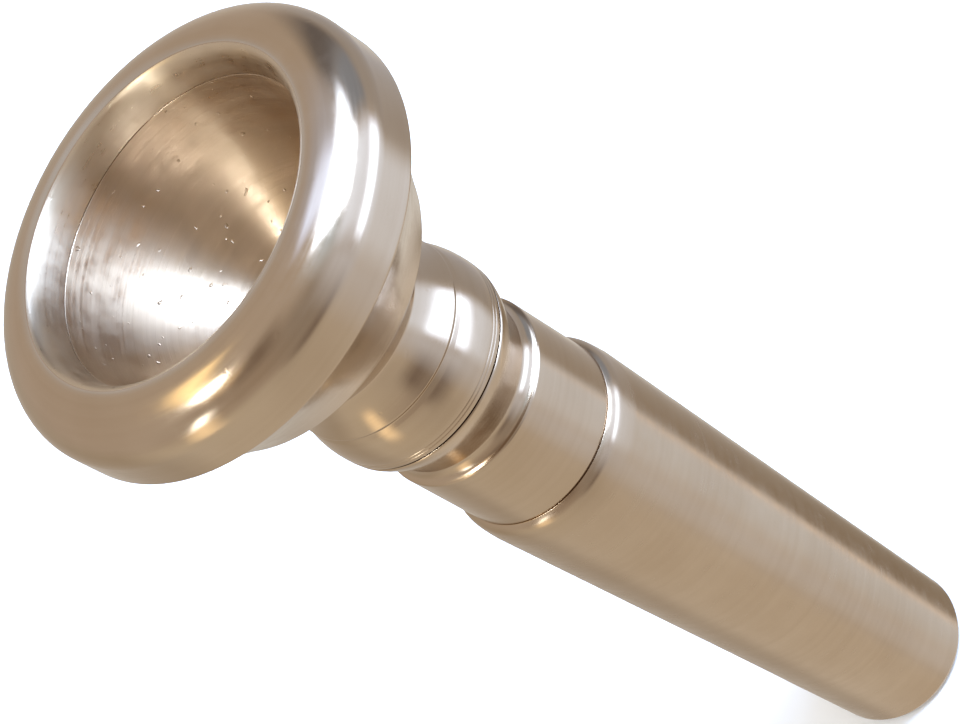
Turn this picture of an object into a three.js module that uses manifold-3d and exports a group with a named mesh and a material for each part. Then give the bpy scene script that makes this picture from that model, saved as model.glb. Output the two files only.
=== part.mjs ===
// Bowl-cup mouthpiece of the modular kind: screw rim, cup, backbore tube and tapered shank sleeve.
// Millimetres. +Z runs along the bore from the small end (origin, centre of its end face) to the rim.
import * as THREE from 'three';
import { mergeVertices } from 'three/addons/utils/BufferGeometryUtils.js';
import Module from 'manifold-3d';

const wasm = await Module();
wasm.setup();

// ---- driving dimensions. Depths are measured down from the rim crest, radii from the bore's axis.
const LENGTH = 72.9;
const SEGMENTS = 32;
const GAP = 0.1;                 // drawn space between faces that touch

const RIM = { radius: 13.42, crest: 10.1, widest: 2.42, foot: 4.58, chamfer: 0.13 };
const BITE = { radius: 9.15, pull: [9.42, 0] };   // the rim's inner edge
const CUP_WALL = { steep: [9.1, 7.7], floor: [6.5, 9.0] };
const THROAT = { radius: 2.15, top: 12.4, bottom: 15.5, exit: 2.45 };
const COLLAR = { top: 2.1, core: 10.9 };        // the cup's threaded collar, up inside the rim
const BOWL = { shoulder: 9.53, shoulderDepth: 10.0, neck: 5.6, neckDepth: 14.05 };
const BOWL_PULL = { flare: [11.01, 7.18], foot: [8.51, 11.2], waist: [6.1, 12.6] };
const BEAD = { groove: 6.1, grooveDepth: 17.02, lip: 6.25, lipWidth: 0.25, crest: 6.66, crestDepth: 19.95 };
const BEAD_PULL = { above: [5.65, 15.45], below: [6.64, 18.35] };
const JOINT = { radius: 6.63, depth: 20.3 };
const SPIGOT = { land: 4.35, landEnd: 21.55, core: 3.85, end: 27.45, chamfer: 0.4 };
const DIP = { radius: 5.41, depth: 23.85, wallTop: 24.61, edge: 0.1, wallEase: 0.05, topEase: 0.03 };
const DIP_PULL = { above: [6.46, 21.5], into: [5.56, 22.6], out: [5.51, 24.46] };
const BAND = { radius: 6.0, end: 31.25 };
const TUBE = { radius: 4.65, recess: 0.3, exit: 3.9, entry: 2.5 };
const SLEEVE = { bore: 4.75, lip: 6.03, top: 6.51, topDepth: 33.4, tip: 5.46, chamfer: 0.35 };
const SLEEVE_PULL = { lip: [6.15, 31.9], shoulder: [6.49, 32.6] };
const RIM_THREAD = { pitch: 0.75, major: 11.24, top: 2.4, bottom: 4.4, entry: 0.1, exit: 0.55 };
const NECK_THREAD = { pitch: 1.0, major: 4.3, top: 22.15, bottom: 26.75, entry: 0.45, exit: 0.55 };
// tip, base and side are parts of the pitch, runOut is part of a turn, stub is the height left at the very end
const TOOTH = { tip: 0.2, base: 0.7, side: 0.15, sunk: 0.08, runOut: 0.25, stub: 0.35 };
const RIM_SEAL = { radius: 10.1, depth: 2.38, section: 0.3, inner: 9.78, outer: 10.42, floor: 2.72 };
const NECK_SEAL = { radius: 4.95, depth: 21.03, section: 0.42, seat: 5.55, seatEnd: 21.65 };
const THREAD_CLEARANCE = 0.12;   // between the thread's crests and roots, all round
const RELIEF = { radius: 4.5, start: 26.65 };

const COLOURS = {
  polished: { color: 0xb9a58b, roughness: 0.16, metalness: 1 },
  satin: { color: 0xb09c80, roughness: 0.32, metalness: 1 },
  cup: { color: 0xad9473, roughness: 0.24, metalness: 1 },
  rubber: { color: 0x17171a, roughness: 0.75, metalness: 0 },
};

// ---- outlines: lists of points with x as radius and y as height above the small end
const at = (radius, depth) => new THREE.Vector2(radius, LENGTH - depth);

function straight(...corners) {
  return corners.map(([radius, depth]) => at(radius, depth));
}

function quarterEllipse(centre, halfRadius, halfDepth, from, to, steps) {
  const points = [];
  for (let i = 0; i <= steps; i += 1) {
    const angle = THREE.MathUtils.degToRad(from + ((to - from) * i) / steps);
    points.push(at(centre[0] + halfRadius * Math.cos(angle), centre[1] - halfDepth * Math.sin(angle)));
  }
  return points;
}

function sweepCurve(start, pull, end, steps) {
  const curve = new THREE.QuadraticBezierCurve(at(...start), at(...pull), at(...end));
  return curve.getPoints(steps);
}

function doubleCurve(start, pullA, pullB, end, steps) {
  const curve = new THREE.CubicBezierCurve(at(...start), at(...pullA), at(...pullB), at(...end));
  return curve.getPoints(steps);
}

function withoutRepeats(points) {
  return points.filter((point, i) => i === 0 || point.distanceTo(points[i - 1]) > 1e-6);
}

// ---- solids
function merged(geometry) {
  geometry.deleteAttribute('normal');
  geometry.deleteAttribute('uv');
  return mergeVertices(geometry, 1e-5);
}

function turned(outline) {
  const points = withoutRepeats(outline);
  points.push(points[0].clone());
  const clockwise = THREE.ShapeUtils.area(points) < 0;
  if (clockwise) {
    points.reverse();
  }
  const geometry = new THREE.LatheGeometry(points, SEGMENTS);
  geometry.rotateX(Math.PI / 2);
  return merged(geometry);
}

function toManifold(geometry) {
  const mesh = new wasm.Mesh({
    numProp: 3,
    vertProperties: new Float32Array(geometry.attributes.position.array),
    triVerts: new Uint32Array(geometry.index.array),
  });
  return new wasm.Manifold(mesh);
}

function fromManifold(solid) {
  const { vertProperties, triVerts } = solid.getMesh();
  const geometry = new THREE.BufferGeometry();
  geometry.setAttribute('position', new THREE.BufferAttribute(new Float32Array(vertProperties), 3));
  geometry.setIndex(new THREE.BufferAttribute(new Uint32Array(triVerts), 1));
  return geometry;
}

// One thread ridge as a closed solid: a trapezoid carried up a right-handed helix.
function helicalRidge({ pitch, low, high, inner, outer, tip, base, runOut }) {
  const step = (2 * Math.PI) / SEGMENTS;
  const first = Math.ceil((low / pitch) * SEGMENTS) + 0.5;
  const last = Math.floor((high / pitch) * SEGMENTS) - 0.5;
  const positions = [];
  for (let k = first; k <= last; k += 1) {
    const turnsFromEnd = Math.min(k - first, last - k) / SEGMENTS;
    const grown = runOut > 0 ? Math.min(1, turnsFromEnd / runOut) : 1;
    const crest = inner + (outer - inner) * (TOOTH.stub + (1 - TOOTH.stub) * grown);
    const height = (k / SEGMENTS) * pitch;
    const section = [[inner, -base / 2], [crest, -tip / 2], [crest, tip / 2], [inner, base / 2]];
    for (const [radius, rise] of section) {
      positions.push(radius * Math.cos(k * step), radius * Math.sin(k * step), height + rise);
    }
  }
  return closedSweep(positions, 4);
}

function closedSweep(positions, corners) {
  const sections = positions.length / 3 / corners;
  const index = [];
  for (let s = 0; s + 1 < sections; s += 1) {
    for (let c = 0; c < corners; c += 1) {
      const a = s * corners + c;
      const b = s * corners + ((c + 1) % corners);
      index.push(a, a + corners, b, b, a + corners, b + corners);
    }
  }
  const end = (sections - 1) * corners;
  index.push(0, 1, 2, 0, 2, 3);
  index.push(end, end + 2, end + 1, end, end + 3, end + 2);
  const geometry = new THREE.BufferGeometry();
  geometry.setAttribute('position', new THREE.Float32BufferAttribute(positions, 3));
  geometry.setIndex(index);
  return geometry;
}

function threadRidge(thread, core) {
  const { pitch } = thread;
  const slope = ((TOOTH.base - TOOTH.tip) * pitch) / 2 / (thread.major - core);
  return helicalRidge({
    pitch,
    low: LENGTH - thread.bottom,
    high: LENGTH - thread.top,
    inner: core - TOOTH.sunk,
    outer: thread.major,
    tip: TOOTH.tip * pitch,
    base: TOOTH.base * pitch + 2 * slope * TOOTH.sunk,
    runOut: TOOTH.runOut,
  });
}

function threadGroove(thread, core, top, bottom) {
  const { pitch } = thread;
  const slope = ((TOOTH.base - TOOTH.tip) * pitch) / 2 / (thread.major - core);
  return helicalRidge({
    pitch,
    low: LENGTH - bottom,
    high: LENGTH - top,
    inner: core + THREAD_CLEARANCE - TOOTH.sunk,
    outer: thread.major + THREAD_CLEARANCE,
    tip: (TOOTH.tip + TOOTH.side) * pitch,
    base: (TOOTH.base + TOOTH.side) * pitch + 2 * slope * TOOTH.sunk,
    runOut: 0,
  });
}

const joined = (a, b) => fromManifold(toManifold(a).add(toManifold(b)));
const cut = (a, b) => fromManifold(toManifold(a).subtract(toManifold(b)));

// ---- the pieces
function rimRing() {
  const outerRound = quarterEllipse([RIM.crest, RIM.widest], RIM.radius - RIM.crest, RIM.widest, 90, 0, 9);
  const threadBore = COLLAR.core + THREAD_CLEARANCE;
  const ledge = COLLAR.top - GAP;
  const underside = straight(
    [RIM.radius, RIM.foot - RIM.chamfer],
    [RIM.radius - RIM.chamfer, RIM.foot],
    [threadBore, RIM.foot],
    [threadBore, ledge],
    [BITE.radius, ledge],
  );
  const biteRound = sweepCurve([BITE.radius, ledge], BITE.pull, [RIM.crest, 0], 9);
  const body = turned([...outerRound, ...underside, ...biteRound.slice(0, -1)]);
  const groove = threadGroove(
    RIM_THREAD, COLLAR.core, COLLAR.top + RIM_THREAD.entry, RIM.foot + RIM_THREAD.exit,
  );
  return cut(body, groove);
}

function bowlSide() {
  const top = RIM.foot + GAP;
  const edge = RIM.radius - RIM.chamfer;
  const flare = sweepCurve([edge, top], BOWL_PULL.flare, [BOWL.shoulder, BOWL.shoulderDepth], 7);
  const foot = doubleCurve(
    [BOWL.shoulder, BOWL.shoulderDepth], BOWL_PULL.foot, BOWL_PULL.waist, [BOWL.neck, BOWL.neckDepth], 8,
  );
  return [...flare, ...foot];
}

function beads() {
  const lipTop = BEAD.grooveDepth - BEAD.lipWidth;
  const lipBottom = BEAD.grooveDepth + BEAD.lipWidth;
  return [
    ...sweepCurve([BOWL.neck, BOWL.neckDepth], BEAD_PULL.above, [BEAD.lip, lipTop], 5),
    at(BEAD.groove, BEAD.grooveDepth),
    ...sweepCurve([BEAD.lip, lipBottom], BEAD_PULL.below, [BEAD.crest, BEAD.crestDepth], 5),
    at(JOINT.radius, JOINT.depth),
  ];
}

function cupBody() {
  const spigot = straight(
    [SPIGOT.land, JOINT.depth],
    [SPIGOT.land, SPIGOT.landEnd],
    [SPIGOT.core, SPIGOT.landEnd],
    [SPIGOT.core, SPIGOT.end - SPIGOT.chamfer],
    [SPIGOT.core - SPIGOT.chamfer, SPIGOT.end],
    [THROAT.exit, SPIGOT.end],
    [THROAT.radius, THROAT.bottom],
  );
  const bowl = doubleCurve(
    [THROAT.radius, THROAT.top], CUP_WALL.floor, CUP_WALL.steep, [BITE.radius, COLLAR.top], 14,
  );
  const collar = straight(
    [RIM_SEAL.inner, COLLAR.top],
    [RIM_SEAL.inner, RIM_SEAL.floor],
    [RIM_SEAL.outer, RIM_SEAL.floor],
    [RIM_SEAL.outer, COLLAR.top],
    [COLLAR.core, COLLAR.top],
    [COLLAR.core, RIM.foot + GAP],
  );
  const body = turned([...bowlSide(), ...beads(), ...spigot, ...bowl, ...collar]);
  const upper = joined(body, threadRidge(RIM_THREAD, COLLAR.core));
  return joined(upper, threadRidge(NECK_THREAD, SPIGOT.core));
}

function backboreTube() {
  const top = JOINT.depth + GAP;
  const socketBore = SPIGOT.core + THREAD_CLEARANCE;
  const socketFloor = SPIGOT.end + GAP;
  const end = LENGTH - TUBE.recess;
  const outside = [
    at(JOINT.radius, top),
    ...doubleCurve(
      [JOINT.radius - DIP.topEase, top + DIP.edge], DIP_PULL.above, DIP_PULL.into, [DIP.radius, DIP.depth], 7,
    ),
    ...sweepCurve([DIP.radius, DIP.depth], DIP_PULL.out, [BAND.radius - DIP.wallEase, DIP.wallTop], 4),
    at(BAND.radius, DIP.wallTop + DIP.edge),
  ];
  const rest = straight(
    [BAND.radius, BAND.end],
    [TUBE.radius, BAND.end],
    [TUBE.radius, end],
    [TUBE.exit, end],
    [TUBE.entry, socketFloor],
    [RELIEF.radius, socketFloor],
    [RELIEF.radius, RELIEF.start],
    [socketBore, RELIEF.start],
    [socketBore, NECK_SEAL.seatEnd],
    [NECK_SEAL.seat, NECK_SEAL.seatEnd],
    [NECK_SEAL.seat, top],
  );
  const body = turned([...outside, ...rest]);
  const groove = threadGroove(
    NECK_THREAD, SPIGOT.core, NECK_SEAL.seatEnd - NECK_THREAD.exit, socketFloor - NECK_THREAD.entry,
  );
  return cut(body, groove);
}

function taperSleeve() {
  const top = BAND.end + GAP;
  const shoulder = doubleCurve(
    [SLEEVE.lip, top], SLEEVE_PULL.lip, SLEEVE_PULL.shoulder, [SLEEVE.top, SLEEVE.topDepth], 5,
  );
  const rest = straight(
    [SLEEVE.tip, LENGTH - SLEEVE.chamfer],
    [SLEEVE.tip - SLEEVE.chamfer / 2, LENGTH],
    [SLEEVE.bore, LENGTH],
    [SLEEVE.bore, top],
  );
  return turned([...shoulder, ...rest]);
}

function sealRing({ radius, depth, section }) {
  const circle = quarterEllipse([radius, depth], section, section, 0, 360, 10);
  return turned(circle.slice(0, -1));
}

// ---- the assembly
function piece(name, geometry, look) {
  const material = new THREE.MeshStandardMaterial({ ...COLOURS[look], flatShading: true });
  const mesh = new THREE.Mesh(geometry, material);
  mesh.name = name;
  return mesh;
}

function assembly() {
  const mouthpiece = new THREE.Group();
  mouthpiece.add(
    piece('rim_ring', rimRing(), 'polished'),
    piece('rim_seal', sealRing(RIM_SEAL), 'rubber'),
    piece('cup_body', cupBody(), 'cup'),
    piece('neck_seal', sealRing(NECK_SEAL), 'rubber'),
    piece('backbore_tube', backboreTube(), 'polished'),
    piece('taper_sleeve', taperSleeve(), 'satin'),
  );
  return mouthpiece;
}

export default assembly();
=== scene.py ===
"""Looks for the brass mouthpiece. The scene is in metres, and the sizes below are in millimetres."""
import math

import bpy
import numpy as np
from mathutils import Matrix, Vector


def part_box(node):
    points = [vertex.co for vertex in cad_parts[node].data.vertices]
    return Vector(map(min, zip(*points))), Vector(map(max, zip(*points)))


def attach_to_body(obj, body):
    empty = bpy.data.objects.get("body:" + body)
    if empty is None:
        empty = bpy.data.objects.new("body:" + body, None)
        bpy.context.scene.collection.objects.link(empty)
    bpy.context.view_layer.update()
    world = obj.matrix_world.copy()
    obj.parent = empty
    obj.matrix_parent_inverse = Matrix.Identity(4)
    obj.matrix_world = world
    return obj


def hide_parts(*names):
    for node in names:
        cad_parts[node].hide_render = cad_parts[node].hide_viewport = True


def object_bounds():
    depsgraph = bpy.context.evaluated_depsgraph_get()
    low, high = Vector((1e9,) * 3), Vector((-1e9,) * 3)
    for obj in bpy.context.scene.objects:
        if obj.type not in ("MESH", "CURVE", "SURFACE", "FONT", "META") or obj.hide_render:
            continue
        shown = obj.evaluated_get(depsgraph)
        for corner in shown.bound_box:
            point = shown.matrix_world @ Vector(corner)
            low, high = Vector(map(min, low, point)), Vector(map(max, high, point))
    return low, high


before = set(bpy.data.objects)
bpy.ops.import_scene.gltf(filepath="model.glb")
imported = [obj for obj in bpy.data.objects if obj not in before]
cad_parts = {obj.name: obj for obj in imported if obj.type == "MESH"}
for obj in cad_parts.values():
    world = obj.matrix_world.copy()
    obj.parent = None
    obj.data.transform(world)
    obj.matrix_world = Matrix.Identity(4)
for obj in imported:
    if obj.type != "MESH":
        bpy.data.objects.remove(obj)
cad_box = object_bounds()

MM = 0.001
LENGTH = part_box("rim_ring")[1].z / MM


# ---------------------------------------------------------------- sizes
# Every outline point is (radius, depth below the rim's crest).
GAP = 0.02                       # between faces that touch at the rim and at the sleeve's step
FIT_GAP = 0.1                    # between faces that touch at the neck joint, as in the CAD model
THREAD_GAP = 0.12                # between a thread and its groove, measured along the radius

RIM = {"radius": 13.42, "crest": 10.1, "widest": 2.42, "foot": 4.68, "chamfer": 0.13}
BITE = {"radius": 9.15, "pull": (9.42, 0)}
COLLAR = {"top": 2.1, "seat_inside": 9.78, "seat_outside": 10.42, "seat_floor": 2.72}
FLARE_END = (9.42, 10.14)        # the cup's outside, just below its faint turned line
WAIST = (5.6, 14.05)             # between the cup and the beads
BEAD = {"edge": 6.25, "radius": 6.66, "line_radius": 6.13, "line": 17.02, "half_space": 0.25}
TICKS = (19.66, 19.92)           # two fine lines near the lower bead's end
NECK_JOINT = {"radius": 6.60, "depth": 20.3}
SPIGOT = {"shoulder": 4.35, "shoulder_end": 21.55, "end": 27.45, "chamfer": 0.4, "nose": 2.45}
THROAT = {"radius": 2.15, "start": 12.4, "end": 15.5}
DIP = (5.41, 23.85)
BAND = {"radius": 6.0, "start": 24.71, "end": 31.25}
TUBE = {"radius": 4.65, "short_of_end": 0.3, "exit": 3.9, "entry": 2.5, "recess": 5.55,
        "relief": 4.5, "relief_start": 26.65}
SLEEVE = {"radius": 6.51, "widest": 33.4, "tip": 5.46, "chamfer": 0.35, "bore": 4.75}
RIM_SEAL = {"radius": 10.1, "depth": 2.38, "section": 0.3}
NECK_SEAL = {"radius": 4.95, "depth": 21.03, "section": 0.42}
PARTING = {"proud": 0.012, "width": 0.12}        # the mould's line round a rubber ring

RIM_THREAD = {"root": 10.9, "crest": 11.24, "pitch": 0.75, "tip": 0.15, "base": 0.525}
NECK_THREAD = {"root": 3.85, "crest": 4.3, "pitch": 1.0, "tip": 0.2, "base": 0.7}
RUN_OUT = 0.25                   # length over which a thread fades at its ends
GROOVE_END = 0.02                # and a groove at its own

SIDES = 224                      # lathe segments of the turned pieces
SEAL_POINTS = 48
EASED_CORNER = 0.06              # reach of the small bevel on the rim's and the cup's corners
EASED_EDGE = 0.05                # and on the tube's and the sleeve's
SAME = 1e-3                      # radii closer than this are one radius
SHARP_ANGLE = 32                 # degrees between faces that the shading keeps as an edge


# ---------------------------------------------------------------- outlines
def line(*corners):
    return [np.array(corner, float) for corner in corners]


def arc(centre, half_radius, half_depth, start, end, steps):
    angles = np.radians(np.linspace(start, end, steps + 1))
    return [np.array([centre[0] + half_radius * math.cos(angle), centre[1] - half_depth * math.sin(angle)])
            for angle in angles]


def bezier(points, steps):
    points = [np.array(point, float) for point in points]
    out = []
    for t in np.linspace(0, 1, steps + 1):
        level = points
        while len(level) > 1:
            level = [(1 - t) * a + t * b for a, b in zip(level, level[1:])]
        out.append(level[0])
    return out


def scored(radius, depth, half_width, deep):
    """A fine line cut round the piece: three points of a shallow V."""
    return line((radius, depth - half_width), (radius - deep, depth), (radius, depth + half_width))


def eased(points, reach, sharp=20.0):
    """Rounds every corner of a closed outline that turns by more than sharp degrees, by at most reach."""
    clean = [p for i, p in enumerate(points) if np.linalg.norm(p - points[i - 1]) > 1e-6]
    out = []
    for i, corner in enumerate(clean):
        to_last, to_next = clean[i - 1] - corner, clean[(i + 1) % len(clean)] - corner
        last, after = np.linalg.norm(to_last), np.linalg.norm(to_next)
        turn = 180 - math.degrees(math.acos(np.clip(to_last @ to_next / (last * after), -1, 1)))
        if turn < sharp:
            out.append(corner)
            continue
        cut = min(reach, 0.4 * last, 0.4 * after)
        out.extend(bezier([corner + to_last / last * cut, corner, corner + to_next / after * cut], 4))
    return out


def subdivided(points, threads, fine=0.09, coarse=0.6, straight=0.45):
    """Adds points fine apart where a thread runs. Any other stretch longer than straight gets a point
    close to each end, so that its shading stays flat, and points up to coarse apart between them."""
    out = []
    for i, start in enumerate(points):
        end = points[(i + 1) % len(points)]
        length = np.linalg.norm(end - start)
        parts = math.ceil(length / fine)
        if any(max(abs(start[0] - thread.root), abs(end[0] - thread.root)) < SAME for thread in threads):
            stops = np.arange(parts) / parts
        elif length > straight:
            inner = np.linspace(fine, length - fine, math.ceil(length / coarse) + 1)
            stops = np.concatenate([[0], inner / length])
        else:
            stops = [0]
        out.extend(start + (end - start) * stop for stop in stops)
    return out


def rim_outline():
    crest = (RIM["crest"], RIM["widest"])
    outer = arc(crest, RIM["radius"] - RIM["crest"], RIM["widest"], 90, 0, 44)
    ledge = COLLAR["top"] - GAP
    foot = RIM["foot"] - GAP
    bore = RIM_THREAD["root"] + THREAD_GAP
    under = line((RIM["radius"], foot - RIM["chamfer"]), (RIM["radius"] - RIM["chamfer"], foot),
                 (bore, foot), (bore, ledge))
    bite = bezier([(BITE["radius"], ledge), BITE["pull"], (RIM["crest"], 0)], 28)
    return outer + under + bite[:-1]


def bowl_side():
    flare = bezier([(RIM["radius"] - RIM["chamfer"], RIM["foot"]), (11.01, 7.18), (9.53, 10.0)], 30)
    turned_line = line((9.50, 10.02), (9.44, 10.08), FLARE_END)
    drop = bezier([FLARE_END, (8.46, 11.24), (6.1, 12.6), WAIST], 34)
    return flare + turned_line + drop[1:]


def beads():
    above, below = BEAD["line"] - BEAD["half_space"], BEAD["line"] + BEAD["half_space"]
    upper = bezier([WAIST, (5.65, 15.45), (BEAD["edge"], above)], 20)
    between = scored(BEAD["line_radius"], BEAD["line"], 0.08, 0.03)
    lower = bezier([(BEAD["edge"], below), (6.64, 18.35), (BEAD["radius"], 19.5)], 20)
    ticks = [point for depth in TICKS for point in scored(BEAD["radius"], depth, 0.04, 0.04)]
    foot = line((6.65, 20.2), (NECK_JOINT["radius"], NECK_JOINT["depth"]))
    return upper[1:] + between + lower + ticks + foot


def cup_outline():
    root, end, chamfer = NECK_THREAD["root"], SPIGOT["end"], SPIGOT["chamfer"]
    spigot = line((SPIGOT["shoulder"], NECK_JOINT["depth"]), (SPIGOT["shoulder"], SPIGOT["shoulder_end"]),
                  (root, SPIGOT["shoulder_end"]), (root, end - chamfer), (root - chamfer, end),
                  (SPIGOT["nose"], end), (THROAT["radius"], THROAT["end"]))
    bowl = bezier([(THROAT["radius"], THROAT["start"]), (6.5, 9.0), (9.1, 7.7),
                   (BITE["radius"], COLLAR["top"])], 60)
    seat = line((COLLAR["seat_inside"], COLLAR["top"]), (COLLAR["seat_inside"], COLLAR["seat_floor"]),
                (COLLAR["seat_outside"], COLLAR["seat_floor"]), (COLLAR["seat_outside"], COLLAR["top"]))
    collar = line((RIM_THREAD["root"], COLLAR["top"]), (RIM_THREAD["root"], RIM["foot"]))
    return bowl_side() + beads() + spigot + bowl + seat + collar


def tube_outline():
    top = NECK_JOINT["depth"] + FIT_GAP
    outside = line((NECK_JOINT["radius"], top))
    outside += bezier([(6.63, top + 0.1), (6.46, 21.5), (5.56, 22.6), DIP], 26)
    outside += bezier([DIP, (5.51, 24.46), (5.95, 24.61)], 10)[1:]
    outside += line((BAND["radius"], BAND["start"]), (BAND["radius"], BAND["end"] - 0.15),
                    (BAND["radius"] - 0.06, BAND["end"]))
    tip = LENGTH - TUBE["short_of_end"]
    backbore = line((TUBE["radius"], BAND["end"]), (TUBE["radius"], tip), (TUBE["exit"], tip),
                    (TUBE["entry"], SPIGOT["end"] + FIT_GAP))
    bore = NECK_THREAD["root"] + THREAD_GAP
    socket_top = SPIGOT["shoulder_end"] + FIT_GAP
    socket = line((TUBE["relief"], SPIGOT["end"] + FIT_GAP), (TUBE["relief"], TUBE["relief_start"]),
                  (bore, TUBE["relief_start"]), (bore, socket_top), (TUBE["recess"], socket_top),
                  (TUBE["recess"], top))
    return outside + backbore + socket


def sleeve_outline():
    top = BAND["end"] + GAP
    turn = (6.43, 31.98)
    shoulder = bezier([(BAND["radius"], top), (6.17, 31.42), (6.36, 31.56), turn], 14)
    shoulder += bezier([turn, (6.47, 32.3), (6.50, 32.7), (SLEEVE["radius"], SLEEVE["widest"])], 8)[1:]
    tip, chamfer = SLEEVE["tip"], SLEEVE["chamfer"]
    cone = line((tip, LENGTH - chamfer), (tip - chamfer / 2, LENGTH),
                (SLEEVE["bore"], LENGTH), (SLEEVE["bore"], top))
    return shoulder + cone


def seal_outline(size):
    """A round section with the thin parting line outside, which keeps it within size's section."""
    inner = size["section"] - PARTING["proud"]
    points = []
    for k in range(SEAL_POINTS):
        angle = 2 * math.pi * k / SEAL_POINTS
        proud = PARTING["proud"] * math.exp(-(math.sin(angle) / PARTING["width"]) ** 2)
        points.append(np.array([size["radius"] + (inner + proud) * math.cos(angle),
                                size["depth"] - inner * math.sin(angle)]))
    return points


# ---------------------------------------------------------------- threads
class Thread:
    """A right-hand trapezoid thread, as a height field on a cylinder of the root radius."""

    def __init__(self, size, bottom, top, fade=RUN_OUT, gap=0.0, wider=0.0):
        self.root, self.crest = size["root"] + gap, size["crest"] + gap
        self.low, self.high = LENGTH - bottom, LENGTH - top
        self.pitch, self.fade = size["pitch"], fade
        self.tip, self.base = size["tip"] + wider, size["base"] + wider

    def profile(self, angle, height):
        """0 at the root and 1 at the crest."""
        turn = angle / (2 * math.pi)
        offset = np.abs((height - turn * self.pitch + self.pitch / 2) % self.pitch - self.pitch / 2)
        return np.clip((self.base / 2 - offset) / ((self.base - self.tip) / 2), 0, 1)

    def radius(self, angle, height):
        edge = np.clip(np.minimum(height - self.low, self.high - height) / self.fade, 0, 1)
        return self.root + (self.crest - self.root) * self.profile(angle, height) * edge


def groove(size, bottom, top, wider):
    """The groove that a thread runs in, which is wider by the given amount and ends abruptly."""
    return Thread(size, bottom, top, fade=GROOVE_END, gap=THREAD_GAP, wider=wider)


# ---------------------------------------------------------------- meshes
def turned(name, outline, threads=()):
    """A closed lathe body round +Z. Points on a thread's root radius, within its heights, follow it."""
    outline = np.array(subdivided(outline, threads))
    heights = LENGTH - outline[:, 1]
    rings = len(outline)
    angle = np.tile(np.arange(SIDES) * 2 * math.pi / SIDES, (rings, 1))
    radius = np.tile(outline[:, :1], (1, SIDES))
    height = np.tile(heights[:, None], (1, SIDES))
    for thread in threads:
        inside = (heights > thread.low) & (heights < thread.high)
        on = inside & (np.abs(outline[:, 0] - thread.root) < SAME)
        radius[on] = thread.radius(angle[on], height[on])
    verts = np.stack([radius * np.cos(angle), radius * np.sin(angle), height], -1).reshape(-1, 3) * MM
    return piece_from(name, verts, lathe_faces(outline[:, 0], heights), distance_along(outline))


def lathe_faces(radii, heights):
    """Quads between neighbouring rings and sides, turned to face outwards."""
    ring = np.arange(len(radii))[:, None]
    side = np.arange(SIDES)[None, :]
    next_ring, next_side = (ring + 1) % len(radii), (side + 1) % SIDES
    corners = np.broadcast_arrays(ring * SIDES + side, next_ring * SIDES + side,
                                  next_ring * SIDES + next_side, ring * SIDES + next_side)
    quads = np.stack(corners, -1).reshape(-1, 4)
    area = np.sum(radii * np.roll(heights, -1) - np.roll(radii, -1) * heights)
    return quads[:, ::-1] if area > 0 else quads


def distance_along(outline):
    """How far along the outline each vertex lies, in mm, for the turned lines."""
    steps = np.linalg.norm(np.diff(outline, axis=0), axis=1)
    return np.repeat(np.concatenate([[0], np.cumsum(steps)]), SIDES).astype(np.float32)


def piece_from(name, verts, quads, along):
    mesh = bpy.data.meshes.new(name)
    mesh.from_pydata(verts.tolist(), [], quads.tolist())
    mesh.attributes.new("along", "FLOAT", "POINT").data.foreach_set("value", along)
    mesh.validate()
    mesh.shade_smooth()
    mesh.set_sharp_from_angle(angle=math.radians(SHARP_ANGLE))
    piece = bpy.data.objects.new(name, mesh)
    bpy.context.scene.collection.objects.link(piece)
    return piece


def build_pieces():
    rim_bore = groove(RIM_THREAD, bottom=RIM["foot"], top=2.2, wider=0.112)
    collar_thread = Thread(RIM_THREAD, bottom=4.4, top=2.4)
    socket_top = SPIGOT["shoulder_end"] + FIT_GAP
    neck_thread = Thread(NECK_THREAD, bottom=26.35, top=22.15)
    neck_bore = groove(NECK_THREAD, bottom=TUBE["relief_start"], top=socket_top, wider=0.15)
    return {
        "rim": turned("rim_polished", eased(rim_outline(), EASED_CORNER), [rim_bore]),
        "cup": turned("cup_turned", eased(cup_outline(), EASED_CORNER), [collar_thread, neck_thread]),
        "tube": turned("tube_polished", eased(tube_outline(), EASED_EDGE), [neck_bore]),
        "sleeve": turned("sleeve_satin", eased(sleeve_outline(), EASED_EDGE)),
        "rim_seal": turned("rim_seal_ring", seal_outline(RIM_SEAL)),
        "neck_seal": turned("neck_seal_ring", seal_outline(NECK_SEAL)),
    }


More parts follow.
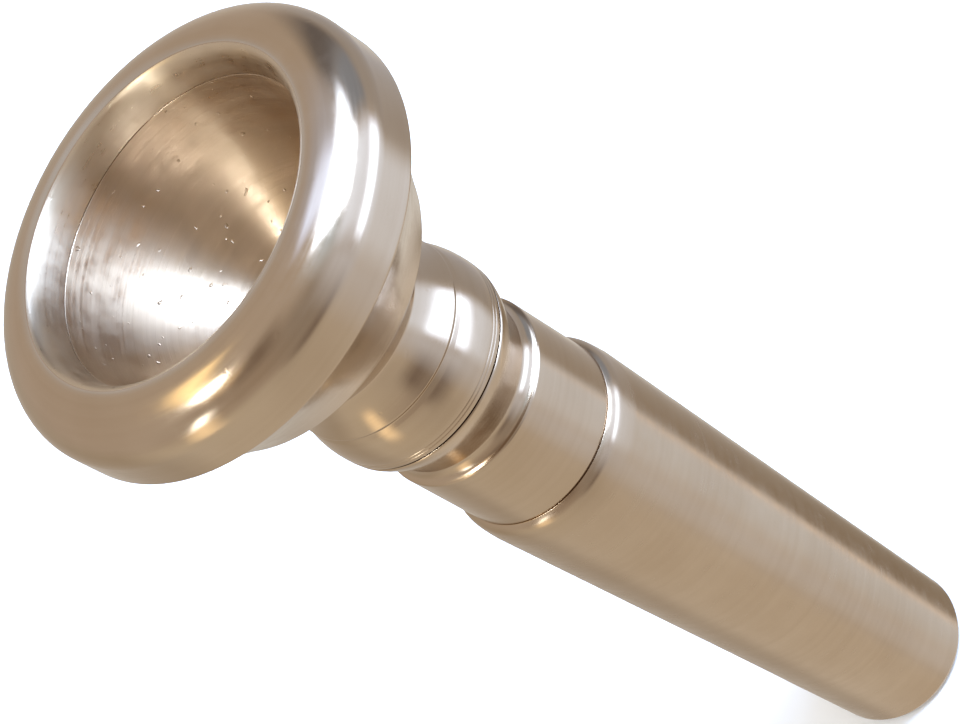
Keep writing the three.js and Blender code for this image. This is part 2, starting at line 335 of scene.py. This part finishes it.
# ---------------------------------------------------------------- materials
class Graph:
    """Short calls for building the node tree of a material or of the world."""

    def __init__(self, owner, shader):
        owner.use_nodes = True
        self.tree = owner.node_tree
        self.shader = self.tree.nodes[shader]

    def add(self, kind, **settings):
        node = self.tree.nodes.new(kind)
        for key, value in settings.items():
            setattr(node, key, value)
        return node

    def link(self, source, target):
        self.tree.links.new(source, target)

    def maths(self, operation, *values):
        node = self.add("ShaderNodeMath", operation=operation)
        for socket, value in zip(node.inputs, values):
            if isinstance(value, (int, float)):
                socket.default_value = value
            else:
                self.link(value, socket)
        return node.outputs[0]

    def noise(self, vector, scale, detail=2.0, roughness=0.5):
        node = self.add("ShaderNodeTexNoise")
        node.inputs["Scale"].default_value = scale
        node.inputs["Detail"].default_value = detail
        node.inputs["Roughness"].default_value = roughness
        self.link(vector, node.inputs["Vector"])
        return node.outputs["Fac"]

    def ramp(self, fac, stops):
        node = self.add("ShaderNodeValToRGB")
        for element, (place, colour) in zip(node.color_ramp.elements, stops):
            element.position = place
            element.color = (*colour, 1)
        self.link(fac, node.inputs["Fac"])
        return node.outputs["Color"]

    def mapped(self, fac, low, high, to_low, to_high):
        node = self.add("ShaderNodeMapRange")
        for key, value in (("From Min", low), ("From Max", high), ("To Min", to_low), ("To Max", to_high)):
            node.inputs[key].default_value = value
        self.link(fac, node.inputs["Value"])
        return node.outputs["Result"]

    def bumped(self, height, strength, distance):
        """Sends a height into the shader's normal. The distance is in mm."""
        bump = self.add("ShaderNodeBump")
        bump.inputs["Strength"].default_value = strength
        bump.inputs["Distance"].default_value = distance * MM
        self.link(height, bump.inputs["Height"])
        self.link(bump.outputs["Normal"], self.shader.inputs["Normal"])


def turned_lines(graph, per_mm, detail=3.0, wander=0.03):
    """Fine lines round the axis: noise along the outline that hardly changes round the piece."""
    along = graph.add("ShaderNodeAttribute", attribute_name="along").outputs["Fac"]
    place = graph.add("ShaderNodeTexCoord").outputs["Object"]
    split = graph.add("ShaderNodeSeparateXYZ")
    graph.link(place, split.inputs[0])
    combine = graph.add("ShaderNodeCombineXYZ")
    graph.link(graph.maths("MULTIPLY", split.outputs["X"], wander / MM), combine.inputs["X"])
    graph.link(graph.maths("MULTIPLY", split.outputs["Y"], wander / MM), combine.inputs["Y"])
    graph.link(graph.maths("MULTIPLY", along, per_mm), combine.inputs["Z"])
    return graph.noise(combine.outputs[0], scale=1.0, detail=detail, roughness=0.6)


def in_mm(graph, seed):
    """The place on the piece in mm, moved by the seed so that no two pieces share a pattern."""
    shift = graph.add("ShaderNodeMapping")
    shift.inputs["Location"].default_value = (seed, seed * 0.7, seed * 1.3)
    shift.inputs["Scale"].default_value = (1 / MM, 1 / MM, 1 / MM)
    graph.link(graph.add("ShaderNodeTexCoord").outputs["Object"], shift.inputs["Vector"])
    return shift.outputs[0]


def brass(name, pale, deep, rough, line_depth, lines_per_mm, anisotropic, seed):
    """Turned brass: clouded colour, uneven polish, fine lines round the axis and a few small pits."""
    material = bpy.data.materials.new(name)
    graph = Graph(material, "Principled BSDF")
    shader = graph.shader.inputs
    place = in_mm(graph, seed)
    fine = turned_lines(graph, lines_per_mm)
    coarse = turned_lines(graph, lines_per_mm * 0.21, detail=2.0, wander=0.02)
    cloud = graph.noise(place, scale=0.13, detail=3.0)
    handling = graph.noise(place, scale=0.9, detail=4.0, roughness=0.6)
    tone = graph.maths("ADD", graph.maths("MULTIPLY", cloud, 0.7), graph.maths("MULTIPLY", coarse, 0.3))
    graph.link(graph.ramp(tone, [(0.3, deep), (0.62, pale)]), shader["Base Color"])
    smear = graph.mapped(handling, low=0.35, high=0.75, to_low=rough * 0.85, to_high=rough * 1.25)
    streak = graph.mapped(fine, low=0.3, high=0.7, to_low=-rough * 0.18, to_high=rough * 0.18)
    graph.link(graph.maths("ADD", smear, streak), shader["Roughness"])
    shader["Metallic"].default_value = 1.0
    shader["Anisotropic"].default_value = anisotropic
    shader["Anisotropic Rotation"].default_value = 0.25
    tangent = graph.add("ShaderNodeTangent", direction_type="RADIAL", axis="Z")
    graph.link(tangent.outputs[0], shader["Tangent"])
    specks = graph.noise(place, scale=2.6, detail=0.0)
    pits = graph.mapped(specks, low=0.80, high=0.86, to_low=0.0, to_high=-1.0)
    lines = graph.maths("ADD", graph.maths("MULTIPLY", fine, 0.6), graph.maths("MULTIPLY", coarse, 0.6))
    graph.bumped(graph.maths("ADD", lines, pits), strength=1.0, distance=line_depth)
    return material


def rubber():
    material = bpy.data.materials.new("seal_rubber_black")
    graph = Graph(material, "Principled BSDF")
    place = graph.add("ShaderNodeTexCoord").outputs["Object"]
    grain = graph.noise(place, scale=6500.0, detail=4.0, roughness=0.6)
    bloom = graph.noise(place, scale=900.0, detail=3.0, roughness=0.5)
    colour = graph.ramp(bloom, [(0.35, (0.011, 0.011, 0.012)), (0.7, (0.030, 0.029, 0.028))])
    graph.link(colour, graph.shader.inputs["Base Color"])
    polish = graph.mapped(grain, low=0.3, high=0.7, to_low=0.42, to_high=0.62)
    graph.link(polish, graph.shader.inputs["Roughness"])
    graph.bumped(grain, strength=0.6, distance=0.006)
    return material


PALE, DEEP = (0.49, 0.375, 0.265), (0.435, 0.32, 0.215)
FINISHES = {
    "rim": dict(name="rim_brass", pale=PALE, deep=DEEP, rough=0.16,
                line_depth=0.0016, lines_per_mm=9.0, anisotropic=0.35, seed=1.0),
    "cup": dict(name="cup_brass", pale=PALE, deep=DEEP, rough=0.17,
                line_depth=0.0022, lines_per_mm=7.0, anisotropic=0.35, seed=4.0),
    "tube": dict(name="tube_brass", pale=PALE, deep=DEEP, rough=0.18,
                 line_depth=0.0014, lines_per_mm=9.0, anisotropic=0.35, seed=8.0),
    "sleeve": dict(name="sleeve_brass", pale=PALE, deep=DEEP, rough=0.22,
                   line_depth=0.0020, lines_per_mm=6.0, anisotropic=0.5, seed=12.0),
}
# Two areas have a softer turned finish than the piece they belong to. Their paler, richer colour is painted
# lightening of the hollow bowl and of the rim's inner slope, on the same brass as the rest.
BOWL_FINISH_PAINTED_LIGHTER = dict(name="cup_wall_brass_painted_lighter", pale=(0.64, 0.485, 0.335), deep=(0.50, 0.365, 0.24), rough=0.38,
                   line_depth=0.032, lines_per_mm=3.6, anisotropic=1.0, seed=23.7)
BITE_FINISH_PAINTED_LIGHTER = dict(name="rim_bite_brass_painted_lighter", pale=(0.60, 0.48, 0.35), deep=(0.54, 0.42, 0.29), rough=0.34,
                   line_depth=0.003, lines_per_mm=7.0, anisotropic=0.9, seed=30.0)


def in_bowl(radius, depth):
    """True on the bowl down to the throat. Low on the cup, where its outside is narrower than the bite,
    only faces within the bowl's own width count."""
    low, width_there = 9.5, 6.2
    inside = depth < low or radius < width_there
    return radius < BITE["radius"] + 0.01 and depth < THROAT["start"] + 0.05 and inside


def on_bite(radius, depth):
    return radius < RIM["crest"] - 0.1 and depth < COLLAR["top"]


def add_finish(piece, finish, belongs):
    """Gives a second material to the faces whose distance from the axis and depth below the rim belong."""
    piece.data.materials.append(brass(**finish))
    for face in piece.data.polygons:
        radius = math.hypot(face.center.x, face.center.y) / MM
        if belongs(radius, LENGTH - face.center.z / MM):
            face.material_index = 1


def dress(pieces):
    for key, finish in FINISHES.items():
        pieces[key].data.materials.append(brass(**finish))
    black = rubber()
    for key in ("rim_seal", "neck_seal"):
        pieces[key].data.materials.append(black)
    # The bowl and the bite take paler copies of the brass: painted lightening of these hollow faces.
    add_finish(pieces["cup"], BOWL_FINISH_PAINTED_LIGHTER, in_bowl)
    add_finish(pieces["rim"], BITE_FINISH_PAINTED_LIGHTER, on_bite)


def attach(pieces):
    plan = {
        "rim": ("rim", "rim_ring", "rim_polished_brass"),
        "cup": ("cup", "cup_body", "cup_turned_brass"),
        "tube": ("shank", "backbore_tube", "tube_polished_brass"),
        "sleeve": ("shank", "taper_sleeve", "sleeve_satin_brass"),
        "rim_seal": ("rim_seal", "rim_seal", "seal_rubber"),
        "neck_seal": ("neck_seal", "neck_seal", "seal_rubber"),
    }
    for key, (body, node, slot) in plan.items():
        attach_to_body(pieces[key], body)
        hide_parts(node)


# ---------------------------------------------------------------- studio
FLOOR_HALF = 1.6                 # metres
FLOOR_DROP = 0.2                 # mm below the part
ROOM_COLOUR = (0.73, 0.68, 0.64)         # where no patch reaches
EVEN_LIGHT = (1.05, 1.04, 1.03)          # what matt surfaces see instead of the patches

# What the metal mirrors: azimuths and elevations in degrees, softness of the edge, and light given off.
# A later patch covers an earlier one. They follow the reflections seen in the photograph.
SURROUNDINGS = (
    # the room's lower half
    ((-180, 180), (-100, -4), 8, (0.93, 0.89, 0.82)),
    ((-180, 180), (-46, -4), 10, (0.76, 0.72, 0.66)),
    ((-136, -80), (-48, 6), 12, (0.84, 0.80, 0.72)),
    ((-78, 10), (-64, 4), 10, (0.62, 0.57, 0.50)),
    # dim walls
    ((-180, -100), (4, 60), 18, (0.56, 0.49, 0.43)),
    ((160, 204), (0, 62), 12, (0.50, 0.46, 0.43)),
    ((160, 202), (-15, 2), 8, (0.30, 0.25, 0.23)),
    ((-152, -118), (44, 72), 9, (0.33, 0.27, 0.23)),
    # patches on the window's near side
    ((30, 94), (-44, 2), 8, (0.62, 0.64, 0.70)),
    ((24, 92), (-62, -46), 6, (0.38, 0.31, 0.23)),
    ((36, 62), (2, 44), 7, (0.24, 0.24, 0.27)),
    ((58, 90), (2, 36), 6, (0.42, 0.52, 0.72)),
    ((-5, 5), (20, 42), 4, (0.84, 0.95, 1.15)),
    ((8, 58), (45, 60), 6, (0.74, 0.82, 1.05)),
    # daylight on its far side and below it
    ((120, 158), (40, 74), 14, (0.84, 1.07, 1.40)),
    ((146, 170), (-60, 40), 12, (0.98, 1.12, 1.42)),
    ((94, 142), (-66, -40), 7, (1.00, 1.14, 1.34)),
    ((120, 176), (-72, -40), 24, (0.96, 0.98, 1.02)),
    ((94, 98), (-72, -46), 2, (1.75, 1.55, 1.35)),
    ((96, 148), (-42, -14), 7, (1.35, 1.66, 2.25)),
    # the window, and the bright patches round it
    ((62, 88), (38, 74), 4, (4.2, 5.8, 9.0)),
    ((92, 122), (36, 74), 5, (19.0, 26.0, 39.0)),
    ((18, 64), (58, 73), 4, (1.8, 2.4, 3.9)),
    ((96, 146), (6, 44), 6, (1.5, 1.9, 2.7)),
    ((98, 146), (-18, 6), 4, (3.2, 4.3, 6.6)),
    # lamps: a warm glow, a white core and a white strip
    ((-98, -28), (56, 64), 3.5, (3.3, 2.8, 1.7)),
    ((-118, -96), (50, 62), 5, (1.2, 0.95, 0.6)),
    ((-98, -80), (56, 63), 3, (25.0, 28.0, 31.0)),
    ((-112, -105), (9, 31), 2, (6.0, 6.6, 7.0)),
    ((-116, -104), (-18, 16), 4, (1.9, 1.65, 1.2)),
)


def floor():
    """A plain pale floor that catches the shadow. Reflections don't see it, so the metal mirrors the room."""
    mesh = bpy.data.meshes.new("floor")
    half = FLOOR_HALF
    corners = [(-half, -half, 0), (half, -half, 0), (half, half, 0), (-half, half, 0)]
    mesh.from_pydata(corners, [], [(0, 1, 2, 3)])
    slab = bpy.data.objects.new("floor", mesh)
    slab.location.z = cad_box[0][2] - FLOOR_DROP * MM
    slab.visible_glossy = False
    bpy.context.scene.collection.objects.link(slab)
    material = bpy.data.materials.new("floor_pale")
    shader = Graph(material, "Principled BSDF").shader.inputs
    shader["Base Color"].default_value = (0.88, 0.875, 0.865, 1)
    shader["Roughness"].default_value = 0.75
    shader["Specular IOR Level"].default_value = 0.1
    mesh.materials.append(material)


def between(graph, distance, span, soft):
    """1 where the distance from the span's middle is inside it, fading over its soft edge."""
    half = (span[1] - span[0]) / 2
    return graph.mapped(distance, low=half - soft, high=half + soft, to_low=1.0, to_high=0.0)


def soft_window(graph, turn, rise, azimuths, elevations, soft):
    """1 inside a soft-edged patch of the surroundings, given by its azimuths and elevations in degrees."""
    past_middle = graph.maths("SUBTRACT", turn, sum(azimuths) / 2)
    sideways = graph.maths("ABSOLUTE", graph.maths("WRAP", past_middle, 180.0, -180.0))
    across = between(graph, sideways, azimuths, soft)
    upwards = graph.maths("ABSOLUTE", graph.maths("SUBTRACT", rise, sum(elevations) / 2))
    upright = between(graph, upwards, elevations, soft)
    return graph.maths("MULTIPLY", across, upright)


def blended(graph, factor, first, second):
    """Mixes two colours. Each is a plain colour or a socket."""
    mix = graph.add("ShaderNodeMix", data_type="RGBA")
    graph.link(factor, mix.inputs["Factor"])
    for socket, colour in ((mix.inputs[6], first), (mix.inputs[7], second)):
        if isinstance(colour, tuple):
            socket.default_value = (*colour, 1)
        else:
            graph.link(colour, socket)
    return mix.outputs[2]


def room():
    """A beige room with a wide cool window on one side and lamps on the other."""
    world = bpy.data.worlds.new("studio")
    bpy.context.scene.world = world
    graph = Graph(world, "Background")
    split = graph.add("ShaderNodeSeparateXYZ")
    graph.link(graph.add("ShaderNodeTexCoord").outputs["Generated"], split.inputs[0])
    turn = graph.maths("DEGREES", graph.maths("ARCTAN2", split.outputs["X"], split.outputs["Y"]))
    rise = graph.maths("DEGREES", graph.maths("ARCSINE", split.outputs["Z"]))
    colour = ROOM_COLOUR
    for azimuths, elevations, soft, light in SURROUNDINGS:
        patch = soft_window(graph, turn, rise, azimuths, elevations, soft)
        colour = blended(graph, patch, colour, light)
    matt = graph.add("ShaderNodeLightPath").outputs["Is Diffuse Ray"]
    graph.link(blended(graph, matt, colour, EVEN_LIGHT), graph.shader.inputs["Color"])
    graph.shader.inputs["Strength"].default_value = 1.0


CAMERA = {"eye": (0, -119.40, 158.28), "aim": (5.42, 0, 44.71), "roll": 57.675, "lens": 103.9,
          "sensor": 36, "shift": (-0.0626, -0.0298), "nearest": 0.01}


def camera():
    """The photograph's view: over the rim, down the shank, rolled so that the bore runs from upper left."""
    eye = Vector(CAMERA["eye"]) * MM
    aim = Vector(CAMERA["aim"]) * MM
    roll = math.radians(CAMERA["roll"])
    forward = (aim - eye).normalized()
    upright = (Vector((0, 0, 1)) - forward * forward.z).normalized()
    side = forward.cross(upright)
    up = upright * math.cos(roll) + side * math.sin(roll)
    right = forward.cross(up)
    data = bpy.data.cameras.new("camera")
    data.sensor_width = CAMERA["sensor"]
    data.lens = CAMERA["lens"]
    data.shift_x, data.shift_y = CAMERA["shift"]
    data.clip_start = CAMERA["nearest"]
    holder = bpy.data.objects.new("camera", data)
    basis = Matrix((right, up, -forward)).transposed()
    holder.matrix_world = Matrix.Translation(eye) @ basis.to_4x4()
    bpy.context.scene.collection.objects.link(holder)
    bpy.context.scene.camera = holder


def main():
    camera()
    floor()
    room()
    pieces = build_pieces()
    dress(pieces)
    attach(pieces)
    view = bpy.context.scene.view_settings
    view.view_transform = "Standard"
    view.look = "None"


main()
